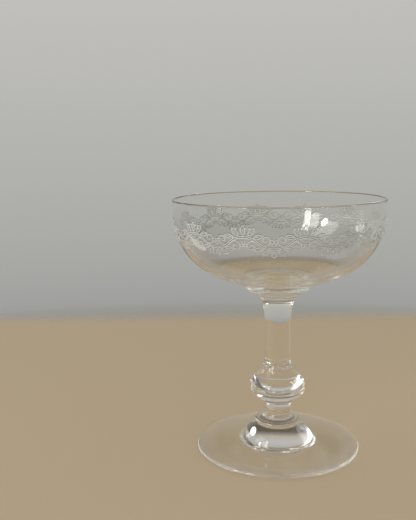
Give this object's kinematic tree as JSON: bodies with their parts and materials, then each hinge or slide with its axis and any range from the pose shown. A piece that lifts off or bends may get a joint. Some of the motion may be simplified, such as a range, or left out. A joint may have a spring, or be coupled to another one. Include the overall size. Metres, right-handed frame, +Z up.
{
  "type": "coupe glass",
  "caption": "Wide shallow bowl on a short stem with a bell-shaped knop, a thin merese and a cushioned round foot, for serving sparkling drinks.",
  "frame": {"origin": "centre of the ring that the foot stands on, on the table", "axes": "+Z up along the glass's axis of revolution, towards the rim"},
  "size_m": [0.099, 0.099, 0.12],
  "materials": {
    "crystal": "clear hand-blown lead crystal, fire polished"
  },
  "bodies": {
    "root": {"foot_plate": "crystal", "foot_cushion": "crystal", "merese": "crystal", "knop": "crystal", "stem_shaft": "crystal", "bowl_collar": "crystal", "bowl": "crystal"}
  },
  "joints": []
}
